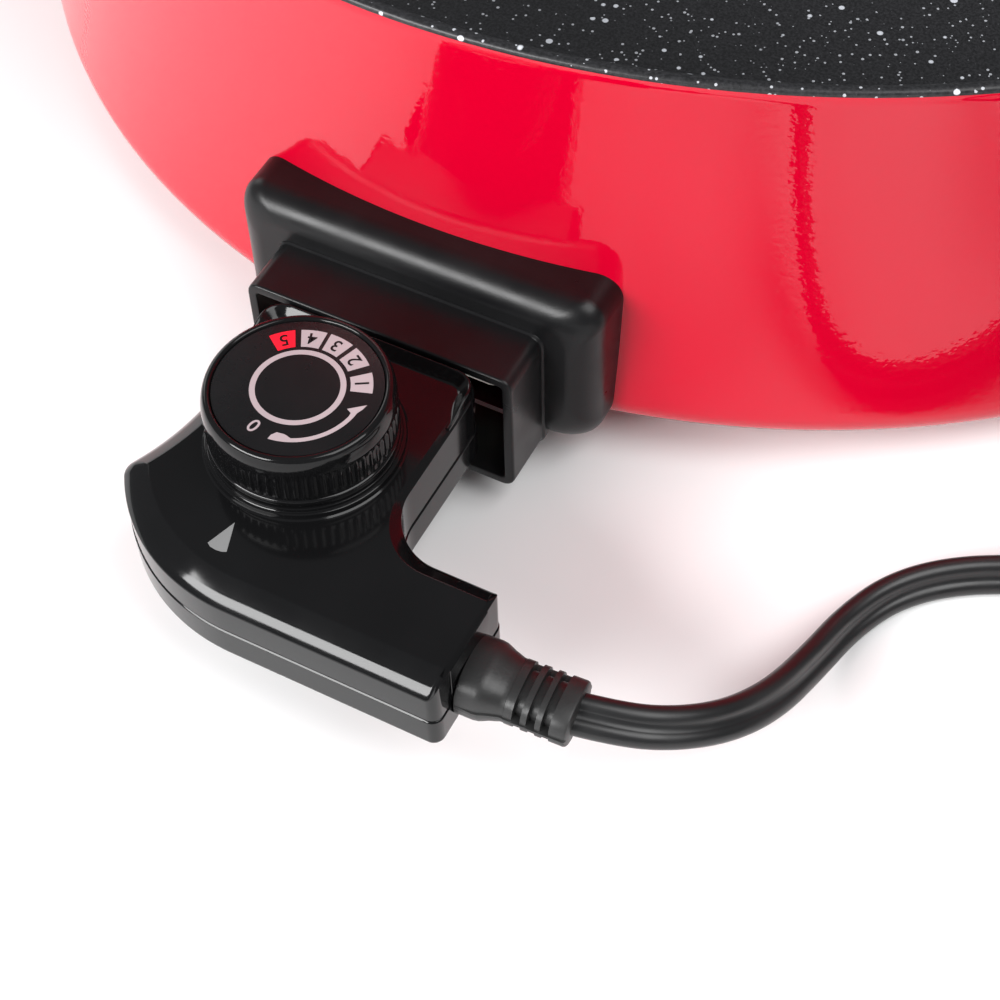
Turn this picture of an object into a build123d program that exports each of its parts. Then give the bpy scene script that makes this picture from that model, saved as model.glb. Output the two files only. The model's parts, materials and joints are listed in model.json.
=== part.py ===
from build123d import *
import os
from math import asin, atan2, cos, degrees, hypot, pi, radians, sin, tan

# Round electric griddle with a plug-in probe thermostat, in millimetres.
# The origin is on the pan's axis at the table. +Z is up, and the thermostat plugs in from the -Y side.

# ---- driving dimensions: griddle body ----
rim_r = 208.3          # outer radius of the red shell at its top edge
rim_z = 118.5          # top of the cooking pan's rim
shell_top = 116.9      # top edge of the red shell, under the pan's lip
belly_r = 210.0        # widest radius, just above the lower corner
corner_r = 8.0         # radius of the shell's lower corner
corner_z = 18.8        # height of that corner's centre
wall_lean = 9.1        # degrees the wall leans in at its foot; it is waisted
shell_t = 1.5          # sheet thickness of the shell
floor_z = 47.0         # cooking surface
floor_r = 184.0        # radius where the floor turns up into the wall
pan_top_r = 202.8      # inside radius of the pan at its rim
pan_t = 3.2            # wall thickness of the cast pan
lip_r = 208.9          # outer radius of the pan's lip
element_r = 110.0      # radius of the heating element's ring
tube_r = 3.5           # radius of the element's sheath
socket_z = 32.0        # height of the probe's axis, the element's ring and the terminal pins
pin_x = 13.0           # terminal pins stand this far each side of the probe

# ---- driving dimensions: guard round the socket ----
guard_half = 46.5      # half width of the guard's flange
guard_face_y = -216.3  # flat front of the flange
guard_top = 57.2       # top of the flange at the wall
guard_low = 11.0       # bottom of the flange
tunnel_y = -231.4      # mouth of the tunnel
tunnel_half = 34.1     # half width of the tunnel, outside
tunnel_low = 9.7       # outside bottom
tunnel_top = 47.0      # outside top
tunnel_t = 2.45        # wall of the tunnel

# ---- driving dimensions: thermostat ----
neck_half = 26.9       # half width of the neck that enters the tunnel
case_back = -230.6     # rear face of the case
case_front = -306.1    # front face of the case
arm_back = -277.5      # rear face of the arm that carries the cord
arm_end = 55.9         # end face of that arm
case_low = 23.3        # underside
parting_z = 31.3       # line where the two half-shells meet
deck_z = 43.8          # flat top
case_t = 2.2           # shell thickness
dial_y = -262.15       # axis of the dial
dial_low = 46.3        # underside of the knob's skirt
dial_top = 61.6        # top of the knob
dial_r = 21.3          # knob's largest radius
cord_y = (case_front + arm_back) / 2
cord_z = 30.5          # height of the cord where it leaves the strain relief
cord_r = 4.6           # half the width of the flat cord
relief_tip = 79.0      # end of the strain relief
relief_z = 31.0        # height of the strain relief's root
relief_neck_r = 4.8    # its neck, gripped by the end wall of the case

os.makedirs("parts", exist_ok=True)
nodes = []


def finish(piece, name):
    """Label a finished piece, write its STEP file and keep it in the list."""
    piece.label = name
    export_step(piece, f"parts/{name}.step")
    nodes.append(piece)


# ---- griddle body ----
corner_c = (belly_r - corner_r, corner_z)
base_z = corner_z - corner_r
lip_in_r = 188.0       # the shell's lower edge turns in to this radius


def shell_line(inset):
    """The red shell's outline, inset from its outside: the turned-in foot, lower corner and wall."""
    lean = radians(wall_lean)
    radius = corner_r - inset
    foot = (corner_c[0] + radius * cos(lean), corner_c[1] + radius * sin(lean))
    Line((lip_in_r, corner_z - radius), (corner_c[0], corner_z - radius))
    CenterArc(corner_c, radius, -90, 90 + wall_lean)
    TangentArc(foot, (rim_r - inset, shell_top), tangent=(-sin(lean), cos(lean)))


# the solid that the shell's outside bounds, a hair larger, used to trim what is fixed to the shell
fit_gap = 0.1
with BuildPart() as shell_blank:
    with BuildSketch(Plane.XZ):
        with BuildLine():
            shell_line(-fit_gap)
            Line((rim_r + fit_gap, shell_top), (0, shell_top))
            Line((0, shell_top), (0, base_z - fit_gap))
            Line((0, base_z - fit_gap), (lip_in_r, base_z - fit_gap))
        make_face()
    revolve(axis=Axis.Z)

socket_w = 44.0
socket_h = 24.0
handle_z = 84.0
handle_post = 44.0     # the handle's posts stand this far each side of its middle
handle_out = 258.0     # centre line of the grip bar
handle_screw_r = 2.2
cover_screw_r = 195.0  # circle of the screws that hold the bottom cover
stand_r = 155.0        # middle of the stand ring
guard_screw_x = 39.0
guard_screw_y = -202.0

with BuildPart() as outer_shell:
    with BuildSketch(Plane.XZ):
        with BuildLine():
            shell_line(0)
            Line((rim_r, shell_top), (rim_r - shell_t, shell_top))
            shell_line(shell_t)
            Line((lip_in_r, base_z + shell_t), (lip_in_r, base_z))
        make_face()
    revolve(axis=Axis.Z)
    with BuildSketch(Plane.XZ.offset(195)):
        with Locations((0, socket_z)):
            RectangleRounded(socket_w, socket_h, 3)
    extrude(amount=25, mode=Mode.SUBTRACT)
    with BuildSketch(Plane.YZ):
        with GridLocations(2 * handle_post, 0, 2, 1):
            with Locations((0, handle_z)):
                Circle(handle_screw_r + 0.2)
    extrude(amount=240, both=True, mode=Mode.SUBTRACT)
    with BuildSketch(Plane.XY.offset(base_z)):
        with PolarLocations(cover_screw_r, 6, 30):
            Circle(1.8)
    extrude(amount=shell_t, mode=Mode.SUBTRACT)
    with BuildSketch(Plane.XZ.offset(195)):
        with Locations((-guard_screw_x, socket_z), (guard_screw_x, socket_z)):
            Circle(1.8)
    extrude(amount=20, mode=Mode.SUBTRACT)
finish(outer_shell.part, "outer_shell")

boss_low = 26.0
boss_len = 75.0
well_r = 3.5
with BuildPart() as inner_pan:
    with BuildSketch(Plane.XZ):
        with BuildLine():
            FilletPolyline((0, floor_z), (floor_r, floor_z), (pan_top_r, rim_z - 0.8), radius=18)
            offset(amount=pan_t, side=Side.RIGHT)
        make_face()
    revolve(axis=Axis.Z)
    # rolled lip that covers the shell's top edge
    with BuildSketch(Plane.XZ):
        with Locations(((pan_top_r + lip_r) / 2, (rim_z + shell_top) / 2)):
            RectangleRounded(lip_r - pan_top_r, rim_z - shell_top, 0.7)
    revolve(axis=Axis.Z)
    # raised ring underneath, grooved to hold the heating element
    with BuildSketch(Plane.XZ):
        with Locations((element_r, (floor_z - pan_t + socket_z) / 2 + 0.4)):
            Rectangle(20, floor_z - pan_t - socket_z + 0.8)
        with Locations((element_r, socket_z)):
            Circle(tube_r + 0.05, mode=Mode.SUBTRACT)
    revolve(axis=Axis.Z)
    with BuildSketch(Plane.XY.offset(boss_low)):
        with Locations((0, -element_r - 5)):
            Rectangle(44, 22)
    extrude(amount=socket_z + tube_r + 0.5 - boss_low, mode=Mode.SUBTRACT)
    # boss with the well for the thermostat's probe
    with BuildSketch(Plane.XY.offset(boss_low)):
        with Locations((0, -element_r - 14 - boss_len / 2)):
            Rectangle(15, boss_len)
    extrude(amount=floor_z - pan_t - boss_low + 0.5)
    with BuildSketch(Plane.XZ.offset(element_r + 22)):
        with Locations((0, socket_z)):
            Circle(well_r)
    extrude(amount=boss_len, mode=Mode.SUBTRACT)
finish(inner_pan.part, "inner_pan")

gap_half = degrees(asin(pin_x / element_r))  # half angle of the gap in the element's ring
leg_end = -204.0
with BuildPart() as heating_element:
    with BuildSketch(Plane.XZ.rotated((0, 0, -90 + gap_half))):
        with Locations((element_r, socket_z)):
            Circle(tube_r)
    revolve(axis=Axis.Z, revolution_arc=360 - 2 * gap_half)
    with BuildSketch(Plane.XZ.offset(element_r - 1.5)):
        with Locations((-pin_x, socket_z), (pin_x, socket_z)):
            Circle(tube_r - 0.2)
    extrude(amount=-leg_end - element_r + 1.5)
finish(heating_element.part, "heating_element")

with BuildPart() as element_clamp:
    with BuildSketch(Plane.XZ):
        with Locations((element_r, socket_z - 3.4)):
            Rectangle(26, 5)
        with Locations((element_r, socket_z)):
            Circle(tube_r + 0.1, mode=Mode.SUBTRACT)
    revolve(axis=Axis.Z)
    with BuildSketch(Plane.XY.offset(socket_z - 6)):
        with Locations((0, -element_r - 8)):
            Rectangle(44, 30)
    extrude(amount=8, mode=Mode.SUBTRACT)
    with PolarLocations(element_r - 10.5, 4, 45):
        Hole(1.7)
finish(element_clamp.part, "element_clamp")

with BuildPart() as clamp_screws:
    with BuildSketch(Plane.XY.offset(socket_z - 8.6)):
        with PolarLocations(element_r - 10.5, 4, 45):
            Circle(3)
    extrude(amount=2.6)
    with BuildSketch(Plane.XY.offset(socket_z - 6.1)):
        with PolarLocations(element_r - 10.5, 4, 45):
            Circle(1.5)
    extrude(amount=6)
finish(clamp_screws.part, "clamp_screws")

# ---- terminal block at the socket, with the pins that feed the element ----
block_back = -199.0
block_face = -214.5
pin_r = 2.3
pin_tip = -246.0
with BuildPart() as terminal_block:
    with BuildSketch(Plane.XZ.offset(-block_back)):
        with Locations((0, socket_z)):
            RectangleRounded(socket_w - 0.6, socket_h - 0.6, 2.8)
    extrude(amount=block_back - block_face)
    with BuildSketch(Plane.XZ.offset(-block_back)):
        with Locations((-pin_x, socket_z), (pin_x, socket_z)):
            Circle(tube_r + 0.1)
    extrude(amount=leg_end * -1 + block_back + 0.2, mode=Mode.SUBTRACT)
    with BuildSketch(Plane.XZ.offset(-block_back)):
        with Locations((-pin_x, socket_z), (pin_x, socket_z)):
            Circle(pin_r)
        with Locations((0, socket_z)):
            Circle(well_r + 1.2)
    extrude(amount=block_back - block_face, mode=Mode.SUBTRACT)
    chamfer(terminal_block.faces().sort_by(Axis.Y)[0].outer_wire().edges(), 0.8)
finish(terminal_block.part, "terminal_block")

for name, x in (("terminal_pin_left", -pin_x), ("terminal_pin_right", pin_x)):
    with BuildPart() as pin:
        with BuildSketch(Plane.XZ.offset(-leg_end)):
            with Locations((x, socket_z)):
                Circle(pin_r)
        extrude(amount=leg_end - pin_tip)
        fillet(pin.faces().sort_by(Axis.Y)[0].edges(), 1.6)
    finish(pin.part, name)

# ---- guard: a flange on the wall and a rectangular tunnel in front of it ----
with BuildPart() as probe_guard:
    with BuildSketch(Plane.YZ.offset(-guard_half)):
        with BuildLine():
            Line((-196, guard_low), (guard_face_y + 6, guard_low))
            TangentArc((guard_face_y + 6, guard_low), (guard_face_y, guard_low + 6), tangent=(-1, 0))
            Line((guard_face_y, guard_low + 6), (guard_face_y, guard_top - 6))
            TangentArc((guard_face_y, guard_top - 6), (guard_face_y + 6, guard_top), tangent=(0, 1))
            Line((guard_face_y + 6, guard_top), (-196, guard_top))
            Line((-196, guard_top), (-196, guard_low))
        make_face()
    extrude(amount=2 * guard_half)
    with BuildSketch(Plane.XY.offset(guard_low)):
        with Locations((0, guard_face_y + 20)):
            RectangleRounded(2 * guard_half, 40, 8)
    extrude(amount=60, mode=Mode.INTERSECT)
    with BuildSketch(Plane.XZ.offset(190)):
        with Locations((0, (guard_low + guard_top) / 2)):
            RectangleRounded(2 * guard_half, guard_top - guard_low, 7)
    extrude(amount=40, mode=Mode.INTERSECT)
    add(shell_blank.part, mode=Mode.SUBTRACT)
    with BuildSketch(Plane.XZ.offset(-guard_face_y - 1.5)):
        with Locations((0, (tunnel_low + tunnel_top) / 2)):
            RectangleRounded(2 * tunnel_half, tunnel_top - tunnel_low, 3.2)
    extrude(amount=guard_face_y - tunnel_y + 1.5)
    with BuildSketch(Plane.XZ.offset(190)):
        with Locations((0, (tunnel_low + tunnel_top) / 2)):
            RectangleRounded(2 * (tunnel_half - tunnel_t), tunnel_top - tunnel_low - 2 * tunnel_t, 1.4)
    extrude(amount=-tunnel_y - 190, mode=Mode.SUBTRACT)
    with BuildSketch(Plane.XZ.offset(195)):
        with Locations((-guard_screw_x, socket_z), (guard_screw_x, socket_z)):
            Circle(1.8)
    extrude(amount=17, mode=Mode.SUBTRACT)
finish(probe_guard.part, "probe_guard")

# two screws fix the guard from inside the shell
with BuildPart() as guard_screws:
    for y0, length, radius in ((guard_screw_y + 2, 2, 3.2), (guard_screw_y + 0.1, 9.5, 1.6)):
        with BuildSketch(Plane.XZ.offset(-y0)):
            with Locations((-guard_screw_x, socket_z), (guard_screw_x, socket_z)):
                Circle(radius)
        extrude(amount=length)
finish(guard_screws.part, "guard_screws")

# ---- underside: bottom cover, stand ring, rubber foot ring and screws ----
cover_z = base_z + shell_t
cover_t = 1.6
stand_out = 168.0
stand_in = 142.0
foot_h = 4.5
with BuildPart() as bottom_cover:
    with BuildSketch(Plane.XY.offset(cover_z)):
        Circle(201)
        with PolarLocations(75, 12):
            SlotOverall(34, 5, rotation=0, mode=Mode.SUBTRACT)
        with PolarLocations(cover_screw_r, 6, 30):
            Circle(1.8, mode=Mode.SUBTRACT)
        with PolarLocations(stand_r, 6, 30):
            Circle(1.8, mode=Mode.SUBTRACT)
        with Locations((0, -196)):
            Rectangle(98, 26, mode=Mode.SUBTRACT)
    extrude(amount=cover_t)
finish(bottom_cover.part, "bottom_cover")

with BuildPart() as stand_ring:
    with BuildSketch(Plane.XZ):
        with BuildLine():
            Polyline(
                (stand_in, cover_z - 0.1), (stand_out, cover_z - 0.1), (stand_out - 5, 2.2),
                (stand_in + 5, 2.2), close=True,
            )
        make_face()
    revolve(axis=Axis.Z)
    with BuildSketch(Plane.XZ):
        with Locations((stand_r, foot_h / 2)):
            Rectangle(10, foot_h)
    revolve(axis=Axis.Z, mode=Mode.SUBTRACT)
    with BuildSketch(Plane.XY.offset(foot_h)):
        with PolarLocations(stand_r, 6, 30):
            Circle(1.8)
    extrude(amount=20, mode=Mode.SUBTRACT)
    with BuildSketch(Plane.XY.offset(foot_h)):
        with PolarLocations(stand_r, 6, 30):
            Circle(3.6)
    extrude(amount=2.4, mode=Mode.SUBTRACT)
finish(stand_ring.part, "stand_ring")

with BuildPart() as foot_ring:
    with BuildSketch(Plane.XZ):
        with Locations((stand_r, (foot_h - 0.05) / 2)):
            Rectangle(9.9, foot_h - 0.05)
        with Locations((stand_r, 0)):
            Rectangle(2.4, 1.6, mode=Mode.SUBTRACT)
    revolve(axis=Axis.Z)
finish(foot_ring.part, "foot_ring")

with BuildPart() as stand_screws:
    for z0, height, radius in ((foot_h + 0.1, 2.2, 3.2), (foot_h + 2.2, 15, 1.6)):
        with BuildSketch(Plane.XY.offset(z0)):
            with PolarLocations(stand_r, 6, 30):
                Circle(radius)
        extrude(amount=height)
finish(stand_screws.part, "stand_screws")

with BuildPart() as cover_screws:
    for z0, height, radius in ((base_z - 1.8, 1.8, 3.0), (base_z - 0.1, 6, 1.5)):
        with BuildSketch(Plane.XY.offset(z0)):
            with PolarLocations(cover_screw_r, 6, 30):
                Circle(radius)
        extrude(amount=height)
finish(cover_screws.part, "cover_screws")

# ---- side handles: a moulded loop at each end of the X axis ----
with BuildPart() as handle_right:
    with BuildLine() as grip_path:
        FilletPolyline(
            (198, -handle_post, handle_z), (handle_out, -handle_post, handle_z),
            (handle_out, handle_post, handle_z), (198, handle_post, handle_z), radius=20,
        )
    with BuildSketch(Plane(origin=(198, -handle_post, handle_z), x_dir=(0, 1, 0), z_dir=(1, 0, 0))):
        RectangleRounded(21, 15, 6)
    sweep()
    add(shell_blank.part, mode=Mode.SUBTRACT)
    with BuildSketch(Plane.YZ.offset(190)):
        with GridLocations(2 * handle_post, 0, 2, 1):
            with Locations((0, handle_z)):
                Circle(handle_screw_r - 0.2)
    extrude(amount=44, mode=Mode.SUBTRACT)
finish(handle_right.part, "handle_right")

with BuildPart() as handle_left:
    mirror(handle_right.part, about=Plane.YZ)
finish(handle_left.part, "handle_left")

# four screws reach the handles from inside the shell
screw_head_x = 198.0
with BuildPart() as handle_screws:
    for x0, length, radius in ((screw_head_x - 2.4, 2.4, 4.0), (screw_head_x - 0.1, 30, 1.8)):
        with BuildSketch(Plane.YZ.offset(x0)):
            with GridLocations(2 * handle_post, 0, 2, 1):
                with Locations((0, handle_z)):
                    Circle(radius)
        extrude(amount=length)
    mirror(about=Plane.YZ)
finish(handle_screws.part, "handle_screws")

# ---- thermostat case: an L-shaped pair of half-shells ----
nose_c = (5.0, dial_y)
nose_r = dial_y - case_front
corner_x = -33.5       # left corner of the case
corner_y = -284.0

with BuildSketch(mode=Mode.PRIVATE) as case_plan:
    with BuildLine():
        Line((arm_end, case_front), (nose_c[0], case_front))
        ThreePointArc(
            (nose_c[0], case_front),
            (nose_c[0] - nose_r * cos(radians(60)), nose_c[1] - nose_r * sin(radians(60))),
            (corner_x, corner_y),
        )
        ThreePointArc((corner_x, corner_y), (-neck_half - 1.0, -268), (-neck_half, -252))
        Line((-neck_half, -252), (-neck_half, case_back))
        Line((-neck_half, case_back), (neck_half, case_back))
        Line((neck_half, case_back), (neck_half, arm_back))
        Line((neck_half, arm_back), (arm_end, arm_back))
        Line((arm_end, arm_back), (arm_end, case_front))
    make_face()
    fillet(case_plan.vertices().sort_by_distance((neck_half, arm_back))[0], 13)
    fillet(case_plan.vertices().sort_by_distance((corner_x, corner_y))[0], 3.2)
    fillet(case_plan.vertices().sort_by_distance((-neck_half, case_back))[0], 5)
    fillet(case_plan.vertices().sort_by_distance((neck_half, case_back))[0], 5)
    fillet(case_plan.vertices().sort_by_distance((arm_end, case_front))[0], 2.5)
    fillet(case_plan.vertices().sort_by_distance((arm_end, arm_back))[0], 2.5)

probe_r = 3.0
spindle_r = 3.0
shoulder = 2.2
with BuildPart() as thermostat_top:
    with BuildSketch(Plane.XY.offset(parting_z + 0.1)):
        add(case_plan.sketch)
    extrude(amount=deck_z - parting_z - 0.1)
    fillet(thermostat_top.faces().sort_by(Axis.Z)[-1].edges(), shoulder)
    with BuildSketch(Plane.XY.offset(parting_z + 0.1)):
        offset(case_plan.sketch, amount=-case_t)
    extrude(amount=deck_z - parting_z - 0.1 - case_t, mode=Mode.SUBTRACT)
    with BuildSketch(Plane.XY.offset(parting_z)):
        with Locations((0, dial_y)):
            Circle(spindle_r + 0.3)
    extrude(amount=20, mode=Mode.SUBTRACT)
    # openings for the probe, the terminal pins and the cord
    with BuildSketch(Plane.XZ.offset(-case_back - 1)):
        with Locations((0, socket_z)):
            Circle(probe_r + 0.15)
        with Locations((-pin_x, socket_z), (pin_x, socket_z)):
            Circle(pin_r + 1.1)
    extrude(amount=6, mode=Mode.SUBTRACT)
    with BuildSketch(Plane.YZ.offset(arm_end - 6)):
        with Locations((cord_y, relief_z)):
            Circle(relief_neck_r + 0.25)
    extrude(amount=8, mode=Mode.SUBTRACT)
finish(thermostat_top.part, "thermostat_top")

boss_spots = [(22.9, -243), (-22.9, -247), (-20, -284), (41, -283)]
with BuildPart() as thermostat_base:
    with BuildSketch(Plane.XY.offset(case_low)):
        add(case_plan.sketch)
    extrude(amount=parting_z - case_low - 0.1)
    fillet(thermostat_base.faces().sort_by(Axis.Z)[0].edges(), 1.6)
    with BuildSketch(Plane.XY.offset(case_low + case_t)):
        offset(case_plan.sketch, amount=-case_t)
    extrude(amount=20, mode=Mode.SUBTRACT)
    with BuildSketch(Plane.XY.offset(case_low + case_t - 0.2)):
        with Locations(*boss_spots):
            Circle(3.4)
    extrude(amount=parting_z - case_low - case_t)
    with BuildSketch(Plane.XY.offset(case_low)):
        with Locations(*boss_spots):
            Circle(1.7)
    extrude(amount=20, mode=Mode.SUBTRACT)
    with BuildSketch(Plane.XY.offset(case_low)):
        with Locations(*boss_spots):
            Circle(2.9)
    extrude(amount=3, mode=Mode.SUBTRACT)
    with BuildSketch(Plane.XZ.offset(-case_back - 1)):
        with Locations((0, socket_z)):
            Circle(probe_r + 0.15)
        with Locations((-pin_x, socket_z), (pin_x, socket_z)):
            Circle(pin_r + 1.1)
    extrude(amount=6, mode=Mode.SUBTRACT)
    with BuildSketch(Plane.YZ.offset(arm_end - 6)):
        with Locations((cord_y, relief_z)):
            Circle(relief_neck_r + 0.25)
    extrude(amount=8, mode=Mode.SUBTRACT)
finish(thermostat_base.part, "thermostat_base")

with BuildPart() as case_screws:
    for z0, height, radius in ((case_low + 0.6, 2.2, 2.6), (case_low + 2.8, 12, 1.4)):
        with BuildSketch(Plane.XY.offset(z0)):
            with Locations(*boss_spots):
                Circle(radius)
        extrude(amount=height)
finish(case_screws.part, "case_screws")

# the sensing probe: a closed steel tube that slides into the well under the pan
probe_tip = -140.0
with BuildPart() as probe_rod:
    with BuildSketch(Plane.XZ.offset(-probe_tip)):
        with Locations((0, socket_z)):
            Circle(probe_r)
    extrude(amount=probe_tip + 249)
    fillet(probe_rod.faces().sort_by(Axis.Y)[-1].edges(), 2.4)
finish(probe_rod.part, "probe_rod")

# ceramic carrier that holds the probe and the two receptacles
carrier_y = -251.0
with BuildPart() as contact_carrier:
    with BuildSketch(Plane.XY.offset(socket_z - 4.4)):
        with Locations((0, (carrier_y - 233.6) / 2)):
            Rectangle(38, -carrier_y - 233.6)
    extrude(amount=9.2)
    with BuildSketch(Plane.XZ.offset(233)):
        with Locations((0, socket_z)):
            Circle(probe_r)
        with Locations((-pin_x, socket_z), (pin_x, socket_z)):
            Circle(3.4)
    extrude(amount=16, mode=Mode.SUBTRACT)
finish(contact_carrier.part, "contact_carrier")

for name, x in (("receptacle_left", -pin_x), ("receptacle_right", pin_x)):
    with BuildPart() as receptacle:
        with BuildSketch(Plane.XZ.offset(233.8)):
            with Locations((x, socket_z)):
                Circle(3.35)
                Circle(pin_r + 0.2, mode=Mode.SUBTRACT)
        extrude(amount=15)
    finish(receptacle.part, name)

# ---- switch inside the case: fixed and moving blades on a ceramic post, bent by the probe's rod ----
with BuildPart() as switch_post:
    with BuildSketch(Plane.XY.offset(case_low + case_t + 0.1)):
        with Locations((8, -292)):
            RectangleRounded(9, 8, 1)
    extrude(amount=9.5)
finish(switch_post.part, "switch_post")

blade_w = 5.0
for name, z0, y_tip in (("switch_blade_fixed", 35.2, -262.0), ("switch_blade_moving", 36.6, -254.0)):
    with BuildPart() as blade:
        with BuildSketch(Plane.XY.offset(z0)):
            with Locations((8, (y_tip - 295.5) / 2)):
                RectangleRounded(blade_w, y_tip + 295.5, 1)
        extrude(amount=0.5)
        with BuildSketch(Plane.XY.offset(z0 + 0.4)):
            with Locations((8, -266)):
                Circle(1.6)
        extrude(amount=0.5)
    finish(blade.part, name)

with BuildPart() as bimetal_strip:
    with BuildSketch(Plane.XY.offset(socket_z - 1.6)):
        with Locations((0, -262)):
            RectangleRounded(4.4, 20, 1)
    extrude(amount=0.8)
finish(bimetal_strip.part, "bimetal_strip")

# ---- dial: collar on the case, spindle with its cam, knob and printed disc ----
with BuildPart() as dial_collar:
    for top, radius in ((45.3, 21.9), (46.4, 21.1)):
        with BuildSketch(Plane.XY.offset(deck_z)):
            with Locations((0, dial_y)):
                Circle(radius)
                Circle(17.5, mode=Mode.SUBTRACT)
        extrude(amount=top - deck_z)
    fillet(dial_collar.edges().filter_by(GeomType.CIRCLE).sort_by(SortBy.RADIUS)[-1], 0.4)
finish(dial_collar.part, "dial_collar")

with BuildPart() as dial_spindle:
    for z0, height, radius in ((38.0, 18.0, spindle_r), (38.0, 3.2, 6.5)):
        with BuildSketch(Plane.XY.offset(z0)):
            with Locations((0, dial_y)):
                Circle(radius)
        extrude(amount=height)
    with BuildSketch(Plane.XY.offset(38)):
        with Locations((7.5, dial_y)):
            Circle(2.2)
    extrude(amount=3.2, mode=Mode.SUBTRACT)
finish(dial_spindle.part, "dial_spindle")

knob_skirt_z = dial_low + 0.5
label_r = 18.4
with BuildPart() as dial_knob:
    with BuildSketch(Plane.XZ.offset(-dial_y)):
        with BuildLine():
            Polyline((0, knob_skirt_z + 9), (17.6, knob_skirt_z + 9), (17.6, knob_skirt_z))
            Line((17.6, knob_skirt_z), (20.7, knob_skirt_z))
            Line((20.7, knob_skirt_z), (dial_r, knob_skirt_z + 9.6))
            TangentArc((dial_r, knob_skirt_z + 9.6), (dial_r - 2.4, dial_top), tangent=(0, 1))
            Polyline(
                (dial_r - 2.4, dial_top), (label_r + 0.1, dial_top), (label_r + 0.1, dial_top - 1),
                (0, dial_top - 1), (0, knob_skirt_z + 9),
            )
        make_face()
    revolve(axis=Axis((0, dial_y, 0), (0, 0, 1)))
    with BuildSketch(Plane.XY.offset(knob_skirt_z)):
        with Locations((0, dial_y)):
            Circle(6)
    extrude(amount=9.5)
    with BuildSketch(Plane.XY.offset(knob_skirt_z - 1)):
        with Locations((0, dial_y)):
            Circle(spindle_r)
    extrude(amount=56 - knob_skirt_z + 1, mode=Mode.SUBTRACT)
finish(dial_knob.part, "dial_knob")

with BuildPart() as dial_label:
    with BuildSketch(Plane.XY.offset(dial_top - 1)):
        with Locations((0, dial_y)):
            Circle(label_r)
    extrude(amount=0.5)
finish(dial_label.part, "dial_label")

# ---- strain relief, set in the end of the arm and leaning a little with the cord ----
relief_root = Vector(arm_end - 5, cord_y - 0.3, relief_z + 0.1)
relief_end = Vector(relief_tip, cord_y + 1.6, cord_z - 0.3)
relief_dir = (relief_end - relief_root).normalized()
relief_len = (relief_end - relief_root).length
with BuildPart() as strain_relief:
    # (start, end, start radius, end radius) along the relief's axis
    for a, b, ra, rb in (
        (0, 2.4, 5.5, 5.5), (2.4, 5.8, relief_neck_r, relief_neck_r), (5.8, 12.5, 8.0, 7.7),
        (12.5, 16, 7.7, 6.5),
        (16, relief_len, 6.5, 6.8),
    ):
        with BuildSketch(Plane(relief_root + relief_dir * a, z_dir=relief_dir)):
            Circle(ra)
        with BuildSketch(Plane(relief_root + relief_dir * b, z_dir=relief_dir)):
            Circle(rb)
        loft()
finish(strain_relief.part, "strain_relief")

# ---- flat cord: it drops to the table, bends away past the pan and is put away in a coil ----
coil_c = (238.0, -228.0)
coil_r = 50.0
coil_turns = 2.25
coil_pitch = 9.4
coil_steps = 12        # route points in each turn
cord_rest = 4.75       # height of the cord's centre where it lies on the table

lead_points = [
    tuple(relief_end),
    (89.0, -287.6, 28.9),
    (98.6, -281.6, 26.0),
    (106.4, -272.0, 21.0),
    (111.4, -259.2, 15.0),
    (114.0, -243.0, 8.6),
    (116.6, -227.8, 5.2),
    (122.4, -215.2, cord_rest),
    (132.6, -205.4, cord_rest),
    (147.0, -197.6, cord_rest),
    (164.0, -190.4, cord_rest),
    (186.0, -184.2, cord_rest),
    (211.0, -179.9, cord_rest),
    (coil_c[0], coil_c[1] + coil_r, cord_rest),
]
coil_top_z = cord_rest + coil_turns * coil_pitch
tail_points = [
    (coil_c[0] + coil_r, coil_c[1], coil_top_z),
    (288.3, -246.0, coil_top_z - 0.3),
    (289.2, -262.0, coil_top_z - 4.0),
    (290.4, -277.0, coil_top_z - 10.3),
    (291.5, -291.0, 10.2),
    (292.0, -304.0, 8.8),
    (292.0, -316.0, 8.8),
]


def bend_radii(points):
    """The largest arc that each corner of a route allows: 0.45 of its shorter run over tan(half turn)."""
    radii = []
    for before, here, after in zip(points, points[1:], points[2:]):
        run_in = Vector(*here) - Vector(*before)
        run_out = Vector(*after) - Vector(*here)
        half_turn = radians(run_in.get_angle(run_out)) / 2
        radii.append(0.45 * min(run_in.length, run_out.length) / tan(half_turn))
    return radii


with BuildPart() as cord_coil:
    with BuildSketch(Plane.XY.offset(cord_rest - cord_r)):
        with Locations(coil_c):
            Circle(coil_r + cord_r)
            Circle(coil_r - cord_r, mode=Mode.SUBTRACT)
    extrude(amount=coil_turns * coil_pitch + 2 * cord_r)
finish(cord_coil.part, "cord_coil")

cord_length = coil_turns * hypot(2 * pi * coil_r, coil_pitch)
for name, points in (("power_cord", lead_points), ("cord_tail", tail_points)):
    radii = bend_radii(points)
    with BuildPart() as cord_piece:
        with BuildLine() as route:
            FilletPolyline(*points, radius=radii)
        path = route.wires()[0]
        with BuildSketch(Plane(path @ 0, z_dir=path % 0)):
            Circle(cord_r)
        sweep(path=path)
        tube_volume = cord_piece.part.volume
        add(cord_coil.part, mode=Mode.SUBTRACT)
        add(strain_relief.part, mode=Mode.SUBTRACT)
    cord_length += path.length
    print(name, "radii", [round(r, 1) for r in radii], "length", round(path.length, 1))
    print(name, "volume over section times length", tube_volume / (pi * cord_r**2 * path.length))
    finish(cord_piece.part.solids().sort_by(SortBy.VOLUME)[-1], name)
print("cord length with its coil", round(cord_length, 1))

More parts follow.
